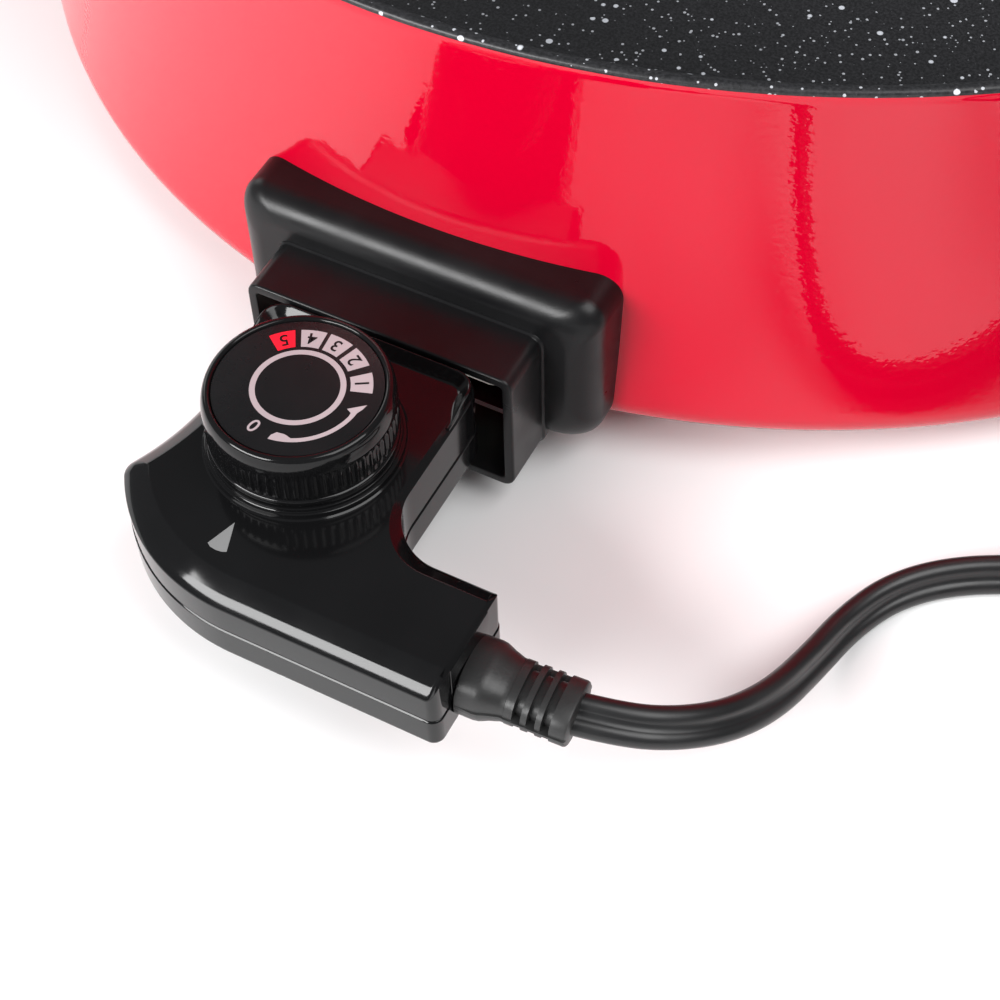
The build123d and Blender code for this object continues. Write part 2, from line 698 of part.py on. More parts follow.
# ---- two-blade plug, lying beside the coil ----
plug_x, plug_y, plug_z = tail_points[-1]
plug_len = 36.0
with BuildPart() as plug_body:
    with BuildSketch(Plane(origin=(plug_x, plug_y, plug_z), z_dir=(0, -1, 0))):
        Circle(cord_r + 0.9)
    with BuildSketch(Plane(origin=(plug_x, plug_y - 12, plug_z), z_dir=(0, -1, 0))):
        Circle(cord_r + 1.9)
    loft()
    with BuildSketch(Plane(origin=(plug_x, plug_y - 12, plug_z), x_dir=(1, 0, 0), z_dir=(0, -1, 0))):
        RectangleRounded(20, 14, 5)
    with BuildSketch(Plane(origin=(plug_x, plug_y - plug_len, plug_z), x_dir=(1, 0, 0), z_dir=(0, -1, 0))):
        RectangleRounded(25, 17, 4)
    loft()
finish(plug_body.part, "plug_body")

for name, side in (("plug_blade_left", -1), ("plug_blade_right", 1)):
    with BuildPart() as prong:
        with BuildSketch(Plane.XY.offset(plug_z - 3.2)):
            with Locations((plug_x + side * 6.35, plug_y - plug_len - 8)):
                Rectangle(1.5, 16)
        extrude(amount=6.4)
        chamfer(prong.faces().sort_by(Axis.Y)[0].edges().filter_by(Axis.Z), 0.5)
        with BuildSketch(Plane.YZ.offset(plug_x + side * 6.35)):
            with Locations((plug_y - plug_len - 12, plug_z)):
                Circle(1.6)
        extrude(amount=2, both=True, mode=Mode.SUBTRACT)
    finish(prong.part, name)
print(len(nodes), "nodes")
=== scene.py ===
import bpy
import bmesh
import json
from math import acos, atan2, cos, hypot, pi, radians, sin, sqrt, tan
from mathutils import Matrix, Vector


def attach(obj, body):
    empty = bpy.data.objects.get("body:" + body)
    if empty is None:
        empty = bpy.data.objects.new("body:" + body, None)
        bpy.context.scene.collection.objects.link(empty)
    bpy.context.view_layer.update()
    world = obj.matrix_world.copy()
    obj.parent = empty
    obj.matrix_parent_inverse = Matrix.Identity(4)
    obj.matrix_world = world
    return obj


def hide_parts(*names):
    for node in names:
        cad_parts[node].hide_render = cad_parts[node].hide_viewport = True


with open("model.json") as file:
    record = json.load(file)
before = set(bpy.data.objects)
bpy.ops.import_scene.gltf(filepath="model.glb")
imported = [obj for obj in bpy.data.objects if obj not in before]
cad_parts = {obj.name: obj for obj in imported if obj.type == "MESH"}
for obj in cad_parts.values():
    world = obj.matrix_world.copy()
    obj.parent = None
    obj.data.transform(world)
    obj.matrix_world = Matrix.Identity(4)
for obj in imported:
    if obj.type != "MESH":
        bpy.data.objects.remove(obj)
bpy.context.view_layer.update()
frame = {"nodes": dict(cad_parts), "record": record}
nodes = frame["nodes"]
MM = 0.001
scene = bpy.context.scene
scene.view_settings.view_transform = "Standard"

# ---------------------------------------------------------------- camera
# the photograph's camera, solved from the object's outlines; its place in metres, its lens in millimetres
az, el, roll = radians(-29.53), radians(53.26), radians(-2.24)
CAMERA_PLACE = (0.1739, -0.4850, 0.3933)
forward = Vector((sin(az) * cos(el), cos(az) * cos(el), -sin(el)))
level = Vector((cos(az), -sin(az), 0))
raised = level.cross(forward)
right = level * cos(roll) + raised * sin(roll)
up = -level * sin(roll) + raised * cos(roll)
camera_data = bpy.data.cameras.new("camera")
camera_data.sensor_width = 36
camera_data.sensor_fit = "HORIZONTAL"
camera_data.lens = 74.42
camera_data.clip_start = 0.01
camera = bpy.data.objects.new("camera", camera_data)
scene.collection.objects.link(camera)
turn = Matrix((right, up, -forward)).transposed()
camera.matrix_world = Matrix.Translation(CAMERA_PLACE) @ turn.to_4x4()
scene.camera = camera


# ---------------------------------------------------------------- helpers
def link(name, mesh):
    """Puts an object with that data in the scene."""
    piece = bpy.data.objects.new(name, mesh)
    scene.collection.objects.link(piece)
    return piece


def from_grid(name, rings, capped=False):
    """A mesh from closed rings of points in millimetres, as many in each; capped closes both ends."""
    mesh = bpy.data.meshes.new(name)
    count = len(rings[0])
    verts = [Vector(p) * MM for ring in rings for p in ring]
    faces = []
    for i in range(len(rings) - 1):
        for j in range(count):
            k = (j + 1) % count
            faces.append((i * count + j, i * count + k, (i + 1) * count + k, (i + 1) * count + j))
    if capped:
        faces.append(tuple(reversed(range(count))))
        last = (len(rings) - 1) * count
        faces.append(tuple(range(last, last + count)))
    mesh.from_pydata([tuple(v) for v in verts], [], faces)
    mesh.update()
    return link(name, mesh)


def lathe(name, profile, segments, centre=(0, 0), radius_at=None):
    """Turns a profile of (radius, height) about a vertical axis; radius_at(r, z, angle) can vary the radius."""
    rings = []
    for r, z in profile:
        ring = []
        for j in range(segments):
            a = 2 * pi * j / segments
            rr = r if radius_at is None else radius_at(r, z, a)
            ring.append((centre[0] + rr * cos(a), centre[1] + rr * sin(a), z))
        rings.append(ring)
    return from_grid(name, rings)


def arc(cx, cz, r, a0, a1, n):
    """Points of an arc, angles in degrees."""
    return [
        (cx + r * cos(radians(a0 + (a1 - a0) * i / n)), cz + r * sin(radians(a0 + (a1 - a0) * i / n)))
        for i in range(n + 1)
    ]


def tidy_mesh(piece, angle=None, weighted=False):
    """Consistent normals, smooth shading and, where asked, sharp edges by angle."""
    mesh = piece.data
    bm = bmesh.new()
    bm.from_mesh(mesh)
    bmesh.ops.remove_doubles(bm, verts=bm.verts, dist=1e-7)
    bmesh.ops.recalc_face_normals(bm, faces=bm.faces)
    bm.to_mesh(mesh)
    bm.free()
    mesh.shade_smooth()
    if angle is not None:
        mesh.set_sharp_from_angle(angle=radians(angle))
    if weighted:
        even = piece.modifiers.new("even", "WEIGHTED_NORMAL")
        even.keep_sharp = True


def cut(piece, cutters):
    """Cuts solids out of a piece and drops them."""
    for cutter in cutters:
        trim = piece.modifiers.new("trim", "BOOLEAN")
        trim.operation = "DIFFERENCE"
        trim.solver = "EXACT"
        trim.object = cutter
        bpy.context.view_layer.update()
        graph = bpy.context.evaluated_depsgraph_get()
        mesh = bpy.data.meshes.new_from_object(piece.evaluated_get(graph))
        piece.modifiers.clear()
        piece.data = mesh
    for cutter in cutters:
        bpy.data.objects.remove(cutter)


def block(low, high):
    """A plain cutter box between two corners, in millimetres."""
    (x0, y0, z0), (x1, y1, z1) = low, high
    ring = lambda z: [(x0, y0, z), (x1, y0, z), (x1, y1, z), (x0, y1, z)]
    return from_grid("cutter", [ring(z0), ring(z1)], capped=True)


def rod(centre, axis, radius, length, sides=48):
    """A plain cutter cylinder from centre along axis, in millimetres."""
    axis = Vector(axis).normalized()
    side = axis.orthogonal().normalized()
    other = axis.cross(side)
    rings = []
    for s in (0, length):
        base = Vector(centre) + axis * s
        rings.append([
            tuple(base + radius * (side * cos(2 * pi * j / sides) + other * sin(2 * pi * j / sides)))
            for j in range(sides)
        ])
    return from_grid("cutter", rings, capped=True)


# ---------------------------------------------------------------- materials
def shader(name, color, rough, metallic=0.0, coat=0.0, coat_rough=0.05, specular=0.5):
    """A material with its principled shader set: (material, shader)."""
    mat = bpy.data.materials.new(name)
    mat.use_nodes = True
    bsdf = mat.node_tree.nodes["Principled BSDF"]
    bsdf.inputs["Base Color"].default_value = (*color, 1)
    bsdf.inputs["Roughness"].default_value = rough
    bsdf.inputs["Metallic"].default_value = metallic
    bsdf.inputs["Coat Weight"].default_value = coat
    bsdf.inputs["Coat Roughness"].default_value = coat_rough
    bsdf.inputs["Specular IOR Level"].default_value = specular
    return mat, bsdf


def noise(tree, scale, detail=3.0, rough=0.5):
    """A noise texture in the object's own coordinates, in metres; scale is per metre."""
    where = tree.nodes.new("ShaderNodeTexCoord")
    texture = tree.nodes.new("ShaderNodeTexNoise")
    texture.inputs["Scale"].default_value = scale
    texture.inputs["Detail"].default_value = detail
    texture.inputs["Roughness"].default_value = rough
    tree.links.new(where.outputs["Object"], texture.inputs["Vector"])
    return texture.outputs["Fac"]


def bump(tree, bsdf, height, strength, distance, before=None):
    """A bump over the normal before, if any; it goes into the shader bsdf unless that is None."""
    node = tree.nodes.new("ShaderNodeBump")
    node.inputs["Strength"].default_value = strength
    node.inputs["Distance"].default_value = distance
    tree.links.new(height, node.inputs["Height"])
    if before is not None:
        tree.links.new(before, node.inputs["Normal"])
    if bsdf is not None:
        tree.links.new(node.outputs["Normal"], bsdf.inputs["Normal"])
    return node.outputs["Normal"]


def ramp(tree, value, low, high, out_low, out_high):
    """Maps low..high onto out_low..out_high, held at both ends."""
    node = tree.nodes.new("ShaderNodeMapRange")
    node.inputs["From Min"].default_value = low
    node.inputs["From Max"].default_value = high
    node.inputs["To Min"].default_value = out_low
    node.inputs["To Max"].default_value = out_high
    tree.links.new(value, node.inputs["Value"])
    return node.outputs["Result"]


def mix_color(tree, factor, a, b):
    """Goes from colour a to b as factor goes from 0 to 1."""
    node = tree.nodes.new("ShaderNodeMix")
    node.data_type = "RGBA"
    for socket, color in ((node.inputs["A"], a), (node.inputs["B"], b)):
        if isinstance(color, tuple):
            socket.default_value = (*color, 1)
        else:
            tree.links.new(color, socket)
    tree.links.new(factor, node.inputs["Factor"])
    return node.outputs["Result"]


def red_enamel():
    """Glossy enamel with a fine orange peel, which frays the edges of what it mirrors."""
    mat, bsdf = shader("red_enamel", (0.52, 0.0, 0.0175), 0.4, coat=1.0, coat_rough=0.02, specular=0.0)
    tree = mat.node_tree
    links = tree.links
    peel = noise(tree, 620, 1.5)
    broad = noise(tree, 60, 1.0)
    peeled = bump(tree, None, peel, 0.28, 0.0001)
    wavy = bump(tree, bsdf, broad, 0.03, 0.0010, peeled)
    links.new(wavy, bsdf.inputs["Coat Normal"])
    tone = ramp(tree, noise(tree, 12, 2.0), 0.3, 0.7, 0.0, 1.0)
    links.new(mix_color(tree, tone, (0.50, 0.0, 0.0165), (0.54, 0.0, 0.0190)), bsdf.inputs["Base Color"])
    return mat


def speckles(tree, scale, largest, chance):
    """Round spots: a cell holds one where its own random number passes chance."""
    where = tree.nodes.new("ShaderNodeTexCoord")
    cells = tree.nodes.new("ShaderNodeTexVoronoi")
    cells.inputs["Scale"].default_value = scale
    tree.links.new(where.outputs["Object"], cells.inputs["Vector"])
    parts = tree.nodes.new("ShaderNodeSeparateColor")
    tree.links.new(cells.outputs["Color"], parts.inputs["Color"])
    size = ramp(tree, parts.outputs["Red"], 1 - chance, 1.0, 0.02, largest)
    less = tree.nodes.new("ShaderNodeMath")
    less.operation = "SUBTRACT"
    tree.links.new(size, less.inputs[0])
    tree.links.new(cells.outputs["Distance"], less.inputs[1])
    return ramp(tree, less.outputs["Value"], 0.0, 0.06, 0.0, 1.0)


def granite():
    """Dark non-stick coating with small and large pale spots."""
    mat, bsdf = shader("granite_coating", (0.01, 0.01, 0.011), 0.42, coat=0.12, coat_rough=0.25, specular=0.35)
    tree = mat.node_tree
    grain = ramp(tree, noise(tree, 1400, 4.0, 0.7), 0.40, 0.72, 0.0, 1.0)
    color = mix_color(tree, grain, (0.007, 0.007, 0.008), (0.032, 0.032, 0.035))
    fine = speckles(tree, 900, 0.42, 0.22)
    color = mix_color(tree, fine, color, (0.42, 0.43, 0.46))
    large = speckles(tree, 330, 0.36, 0.20)
    color = mix_color(tree, large, color, (0.62, 0.64, 0.69))
    tree.links.new(color, bsdf.inputs["Base Color"])
    bump(tree, bsdf, noise(tree, 700, 3.0), 0.25, 0.0002)
    return mat


def moulded(name, color, rough, grain_scale, grain_strength, spread=0.06, specular=0.5):
    """Moulded plastic or rubber: fine grain in the relief and a slight change of gloss."""
    mat, bsdf = shader(name, color, rough, specular=specular)
    tree = mat.node_tree
    links = tree.links
    bump(tree, bsdf, noise(tree, grain_scale, 3.0, 0.6), grain_strength, 0.0001)
    links.new(ramp(tree, noise(tree, 90, 4.0), 0.3, 0.7, rough - spread, rough + spread), bsdf.inputs["Roughness"])
    tone = ramp(tree, noise(tree, 45, 3.0), 0.3, 0.7, 0.0, 1.0)
    pale = tuple(c * 1.25 for c in color)
    links.new(mix_color(tree, tone, color, pale), bsdf.inputs["Base Color"])
    return mat


def metal(name, color, rough):
    """Bare metal with a fine grain in its gloss, relief and colour."""
    mat, bsdf = shader(name, color, rough, metallic=1.0)
    tree = mat.node_tree
    grain = noise(tree, 900, 4.0, 0.6)
    tree.links.new(ramp(tree, grain, 0.3, 0.7, rough - 0.08, rough + 0.1), bsdf.inputs["Roughness"])
    bump(tree, bsdf, grain, 0.12, 0.0001)
    dull = tuple(c * 0.8 for c in color)
    tree.links.new(mix_color(tree, grain, dull, color), bsdf.inputs["Base Color"])
    return mat


M = {
    "red_enamel": red_enamel(),
    "granite_coating": granite(),
    "black_satin": moulded("black_satin", (0.0045, 0.0045, 0.005), 0.33, 2200, 0.20, specular=0.27),
    "black_gloss": moulded("black_gloss", (0.0045, 0.0045, 0.0048), 0.10, 500, 0.02, 0.02, specular=0.27),
    "black_rubber": moulded("black_rubber", (0.012, 0.012, 0.012), 0.42, 1500, 0.35),
    "cord_jacket": moulded("cord_jacket", (0.008, 0.008, 0.0085), 0.36, 1200, 0.10),
    "bright_steel": metal("bright_steel", (0.62, 0.62, 0.63), 0.28),
    "sheath_steel": metal("sheath_steel", (0.30, 0.28, 0.27), 0.42),
    "cover_steel": moulded("cover_steel", (0.03, 0.03, 0.032), 0.5, 900, 0.3),
    "clamp_aluminium": metal("clamp_aluminium", (0.75, 0.75, 0.76), 0.38),
    "white_ceramic": moulded("white_ceramic", (0.70, 0.67, 0.62), 0.55, 700, 0.3),
    "brass_contact": metal("brass_contact", (0.74, 0.56, 0.27), 0.3),
    "dial_print": moulded("dial_print", (0.005, 0.005, 0.0055), 0.30, 1800, 0.12, specular=0.27),
    "print_pale": moulded("print_pale", (0.35, 0.29, 0.305), 0.45, 2500, 0.10),
    "print_red": moulded("print_red", (0.76, 0.004, 0.02), 0.42, 2500, 0.10),
    "print_grey": moulded("print_grey", (0.17, 0.17, 0.17), 0.4, 2500, 0.10),
}


def dress(piece, material, body):
    """Gives a piece its one material and its body."""
    piece.data.materials.clear()
    piece.data.materials.append(M[material])
    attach(piece, body)


# ---------------------------------------------------------------- cord: its route first
# places in millimetres, as in part.py: out of the strain relief, down to the floor, round the coil, to the plug
relief_root = Vector((50.9, -292.1, 31.1))
relief_tip = Vector((79.0, -290.2, 30.2))
relief_way = (relief_tip - relief_root).normalized()
coil_c, coil_r, coil_turns, coil_pitch, rest_z = (238.0, -228.0), 50.0, 2.25, 9.4, 4.75
COIL_STEP = 30
route = [
    tuple(relief_tip), (89.0, -287.6, 28.9), (98.6, -281.6, 26.0), (106.4, -272.0, 21.0),
    (111.4, -259.2, 15.0), (114.0, -243.0, 8.6), (116.6, -227.8, 5.2), (122.4, -215.2, rest_z),
    (132.6, -205.4, rest_z), (147.0, -197.6, rest_z), (164.0, -190.4, rest_z), (186.0, -184.2, rest_z),
    (211.0, -179.9, rest_z), (238.0, -178.0, rest_z),
]
steps = round(coil_turns * 360 / COIL_STEP)
for i in range(1, steps + 1):
    a = radians(90 - COIL_STEP * i)
    height = rest_z + coil_turns * coil_pitch * i / steps
    route.append((coil_c[0] + coil_r * cos(a), coil_c[1] + coil_r * sin(a), height))
top_z = rest_z + coil_turns * coil_pitch
route += [
    (288.3, -246.0, top_z - 0.3), (289.2, -262.0, top_z - 4.0), (290.4, -277.0, top_z - 10.3),
    (291.5, -291.0, 10.2), (292.0, -304.0, 8.8), (292.0, -316.0, 8.8),
]
line_data = bpy.data.curves.new("cord_line", "CURVE")
line_data.dimensions = "3D"
line_data.resolution_u = 16
spline = line_data.splines.new("NURBS")
spline.points.add(len(route) - 1)
for point, place in zip(spline.points, route):
    point.co = (place[0] * MM, place[1] * MM, place[2] * MM, 1)
spline.order_u = 3
spline.use_endpoint_u = True
line_object = link("cord_line", line_data)
bpy.context.view_layer.update()
line_mesh = bpy.data.meshes.new_from_object(line_object.evaluated_get(bpy.context.evaluated_depsgraph_get()))
line = [v.co.copy() for v in line_mesh.vertices]
bpy.data.objects.remove(line_object)
line = [p for i, p in enumerate(line) if i == 0 or (p - line[i - 1]).length > 1e-6]
travel = [0.0]
for a, b in zip(line, line[1:]):
    travel.append(travel[-1] + (b - a).length)
cord_length = travel[-1]

# the flat cord's roll along its length: (distance in metres, degrees)
roll_marks = [(0.0, -33), (0.03, -45), (0.07, -58), (0.13, -55), (0.17, -60), (0.21, -88),
              (cord_length - 0.085, -90), (cord_length - 0.012, -180), (cord_length + 1, -180)]


def at(marks, s):
    """The value at distance s, eased from mark to mark."""
    for (s0, v0), (s1, v1) in zip(marks, marks[1:]):
        if s <= s1:
            f = min(max((s - s0) / (s1 - s0), 0), 1)
            return v0 + (v1 - v0) * (3 * f * f - 2 * f * f * f)
    return marks[-1][1]


def lobe_section():
    """Two round cores side by side in one jacket: (along the wide axis, across it), in millimetres."""
    core, half, waist = 2.42, 2.2, 128
    pts = [(half + core * cos(radians(a)), core * sin(radians(a))) for a in range(-waist, waist + 1, 8)]
    return pts + [(-x, -y) for x, y in pts]


section = lobe_section()
rings = []
for i, p in enumerate(line):
    t = (line[min(i + 1, len(line) - 1)] - line[max(i - 1, 0)]).normalized()
    flat = t.cross(Vector((0, 0, 1))).normalized()
    lift = flat.cross(t)
    rho = radians(at(roll_marks, travel[i]))
    wide = flat * cos(rho) + lift * sin(rho)
    thin = t.cross(wide)
    rings.append([tuple((p + (wide * a + thin * b) * MM) / MM) for a, b in section])
cord_mesh = from_grid("flat_cord", rings, capped=True)
tidy_mesh(cord_mesh, 50)
dress(cord_mesh, "cord_jacket", "thermostat")
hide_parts("power_cord", "cord_coil", "cord_tail")

# ---------------------------------------------------------------- red shell
# the wall leans in at its foot and stands upright again higher up: one waisted arc; (radius, height) in millimetres
LEAN = 9.1
CORNER, CORNER_R = (202.0, 18.8), 8.0
FOOT = (188.0, 10.8)
RIM = (208.3, 116.9)
SHEET = 1.5
lean = radians(LEAN)
foot_top = (CORNER[0] + CORNER_R * cos(lean), CORNER[1] + CORNER_R * sin(lean))


def tangent_arc(start, end, direction, n):
    """Points of the arc that leaves start along direction and ends at end."""
    dx, dz = end[0] - start[0], end[1] - start[1]
    nx, nz = -direction[1], direction[0]
    bend = 2 * (dx * nx + dz * nz) / (dx * dx + dz * dz)
    radius = 1 / bend
    cx, cz = start[0] + nx * radius, start[1] + nz * radius
    a0 = atan2(start[1] - cz, start[0] - cx)
    a1 = a0 + (atan2(end[1] - cz, end[0] - cx) - a0 + pi) % (2 * pi) - pi
    out = []
    for i in range(n + 1):
        a = a0 + (a1 - a0) * i / n
        out.append((cx + abs(radius) * cos(a), cz + abs(radius) * sin(a)))
    return out


wall = tangent_arc(foot_top, RIM, (-sin(lean), cos(lean)), 40)
outside = [FOOT] + arc(CORNER[0], CORNER[1], CORNER_R, -90, LEAN, 14) + wall[1:]
inside = [(r - SHEET if z > 15 else r, max(z, FOOT[1] + SHEET)) for r, z in reversed(outside)]
top_edge = [(208.2, 117.2), (207.8, 117.4), (207.3, 117.4), (207.0, 117.1)]
profile = outside + top_edge + inside
shell = lathe("red_shell", profile + [profile[0]], 360)
tidy_mesh(shell)
# the opening behind the guard
cut(shell, [block((-22, -220, 20), (22, -190, 44))])
tidy_mesh(shell, 40)
dress(shell, "red_enamel", "base")
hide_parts("outer_shell")

# ---------------------------------------------------------------- pan
# the rolled lip, down the inside to the floor's middle, then back along the underside
lip_points = [(208.7, 117.6), (208.95, 118.2), (208.85, 118.8), (208.4, 119.2), (207.7, 119.4), (206.9, 119.35),
              (206.2, 119.0), (205.6, 118.2)]
pan_points = lip_points + [
    (205.2, 116.5), (204.4, 112.0), (203.2, 104.0), (201.8, 95.0), (200.2, 86.0), (198.4, 77.0), (196.4, 69.0),
    (194.0, 62.5), (190.6, 56.4), (186.2, 51.6), (181.0, 48.6), (175.0, 47.2), (167.0, 47.0), (150.0, 47.0),
]
pan_points += [(r, 47.0) for r in (120, 80, 40, 15, 0.01)]
pan_points += [(0.01, 43.8), (40, 43.8), (120, 43.8), (172, 43.9), (184, 47.0), (194, 56.0), (199.5, 70.0),
               (203.6, 92.0), (206.4, 114.0), (207.2, 117.4)]
# the wall above this height sits a little further in and lower, to meet the shell's rim
PAN_BEND = 60
pan_profile = [(r - 0.6, z - 0.9) if z > PAN_BEND else (r, z) for r, z in pan_points]
pan = lathe("speckled_pan", pan_profile + [pan_profile[0]], 288)
tidy_mesh(pan, 50)
dress(pan, "granite_coating", "base")
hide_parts("inner_pan")


# ---------------------------------------------------------------- guard: a soft-edged flange and its tunnel
def rounded_rectangle(half, low, high, y, r_low, r_high, n=10):
    """A rounded rectangle in a plane of constant y, anticlockwise seen from the front."""
    pts = []
    for cx, cz, r, a0 in ((half - r_low, low + r_low, r_low, -90), (half - r_high, high - r_high, r_high, 0),
                          (-half + r_high, high - r_high, r_high, 90), (-half + r_low, low + r_low, r_low, 180)):
        pts += [(x, y, z) for x, z in arc(cx, cz, r, a0, a0 + 90, n)]
    return pts


GUARD_FACE, GUARD_BACK = -216.3, -196.0
GUARD_HALF, GUARD_LOW, GUARD_TOP = 46.6, 10.9, 57.4
# corner radii low and high, and how far the front edge is rounded at the sides, the top and the bottom
GUARD_CORNERS = (9, 6.5)
SOFT_SIDE, SOFT_TOP, SOFT_LOW = 7.2, 6.8, 6.5
rings = [rounded_rectangle(GUARD_HALF, GUARD_LOW, GUARD_TOP, GUARD_BACK, *GUARD_CORNERS)]
for k in range(0, 17):
    a = radians(90 * k / 16)
    y = GUARD_FACE + SOFT_SIDE * (1 - sin(a))
    side, top, bottom = (soft * (1 - cos(a)) for soft in (SOFT_SIDE, SOFT_TOP, SOFT_LOW))
    rings.append(rounded_rectangle(GUARD_HALF - side, GUARD_LOW + bottom, GUARD_TOP - top, y, *GUARD_CORNERS))
flange = from_grid("guard_flange", rings, capped=True)
tidy_mesh(flange)
# its back follows the wall up to CORE_TOP, and its middle is as wide open as the tunnel inside
CORE_TOP = 80.0
wall_core = lathe("cutter", [(0.01, FOOT[1])] + [p for p in outside if p[1] < CORE_TOP] + [(0.01, CORE_TOP)], 240)
cut(flange, [wall_core, block((-31.65, -230, 12.15), (31.65, -190, 44.55))])
tidy_mesh(flange, 40, weighted=True)
dress(flange, "black_satin", "base")

MOUTH, TUNNEL_HALF, TUNNEL_LOW, TUNNEL_TOP, TUNNEL_T = -231.4, 34.1, 9.7, 47.0, 2.45
# (y, growth, corner radius): a small bead at the flange, the outside, the softened mouth and the inside
tunnel_rows = [(-214.5, 0.45, 3.4), (-216.25, 0.45, 3.4), (-216.5, 0.38, 3.4), (-216.85, 0.12, 3.3),
               (-217.2, 0.0, 3.2)]
tunnel_rows += [(MOUTH + 0.8, 0.0, 3.2), (MOUTH + 0.4, -0.07, 3.1), (MOUTH + 0.12, -0.25, 2.9), (MOUTH, -0.5, 2.7)]
tunnel_rows += [(MOUTH, -TUNNEL_T + 0.45, 1.3), (MOUTH + 0.1, -TUNNEL_T + 0.15, 1.1),
                (MOUTH + 0.35, -TUNNEL_T, 1.0), (-214.5, -TUNNEL_T, 1.0)]
rings = [
    rounded_rectangle(TUNNEL_HALF + grow, TUNNEL_LOW - grow, TUNNEL_TOP + grow, y, r, r, 6)
    for y, grow, r in tunnel_rows
]
rings.append(rings[0])
tunnel = from_grid("guard_tunnel", rings)
tidy_mesh(tunnel, 40, weighted=True)
dress(tunnel, "black_satin", "base")
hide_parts("probe_guard")
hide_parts("probe_guard")


# ---------------------------------------------------------------- thermostat case
def circle_through(a, b, c):
    """Centre and radius of the circle through three points."""
    ax, ay, bx, by, cx, cy = *a, *b, *c
    d = 2 * (ax * (by - cy) + bx * (cy - ay) + cx * (ay - by))
    ux = ((ax**2 + ay**2) * (by - cy) + (bx**2 + by**2) * (cy - ay) + (cx**2 + cy**2) * (ay - by)) / d
    uy = ((ax**2 + ay**2) * (cx - bx) + (bx**2 + by**2) * (ax - cx) + (cx**2 + cy**2) * (bx - ax)) / d
    return (ux, uy), hypot(ax - ux, ay - uy)


def run(a, b, step=2.0):
    """Evenly spaced points from a to b."""
    n = max(2, int(hypot(b[0] - a[0], b[1] - a[1]) / step))
    return [(a[0] + (b[0] - a[0]) * i / n, a[1] + (b[1] - a[1]) * i / n) for i in range(n + 1)]


def bow(a, b, c, step=1.5):
    """Arc from a through b to c."""
    (ux, uy), r = circle_through(a, b, c)
    a0, am, a1 = (atan2(p[1] - uy, p[0] - ux) for p in (a, b, c))
    if not (min(a0, a1) < am < max(a0, a1)):
        if a1 > a0:
            a1 -= 2 * pi
        else:
            a1 += 2 * pi
    n = max(3, int(abs(a1 - a0) * r / step))
    return [(ux + r * cos(a0 + (a1 - a0) * i / n), uy + r * sin(a0 + (a1 - a0) * i / n)) for i in range(n + 1)]


DIAL_Y = -262.15
# the arm's end face and inner side, the long front, and the neck's half width and rear
END_FACE, ARM_Y, FRONT_Y, NECK, REAR_Y = 55.9, -277.5, -306.1, 26.9, -230.6
left_corner = (-33.5, -284.0)
# (points, shoulder width, radius of the corner that follows) of each side, anticlockwise seen from above
sides = [
    (run((END_FACE, FRONT_Y), (END_FACE, ARM_Y)), 1.0, 2.5),
    (run((END_FACE, ARM_Y), (NECK, ARM_Y)), 4.6, 13.0),
    (run((NECK, ARM_Y), (NECK, REAR_Y)), 1.6, 6.0),
    (run((NECK, REAR_Y), (-NECK, REAR_Y)), 1.2, 5.0),
    (run((-NECK, REAR_Y), (-NECK, -252.0))[:-1] + bow((-NECK, -252.0), (-27.9, -268.0), left_corner),
     5.8, 4.0),
    (bow(left_corner, (-16.97, -300.2), (5.0, FRONT_Y))[:-1] + run((5.0, FRONT_Y), (END_FACE, FRONT_Y)),
     6.2, 2.5),
]


def way(a, b):
    """The direction from a to b."""
    return Vector((b[0] - a[0], b[1] - a[1])).normalized()


def inward(t):
    """The direction into the case from a side that runs along t."""
    return Vector((-t.y, t.x))


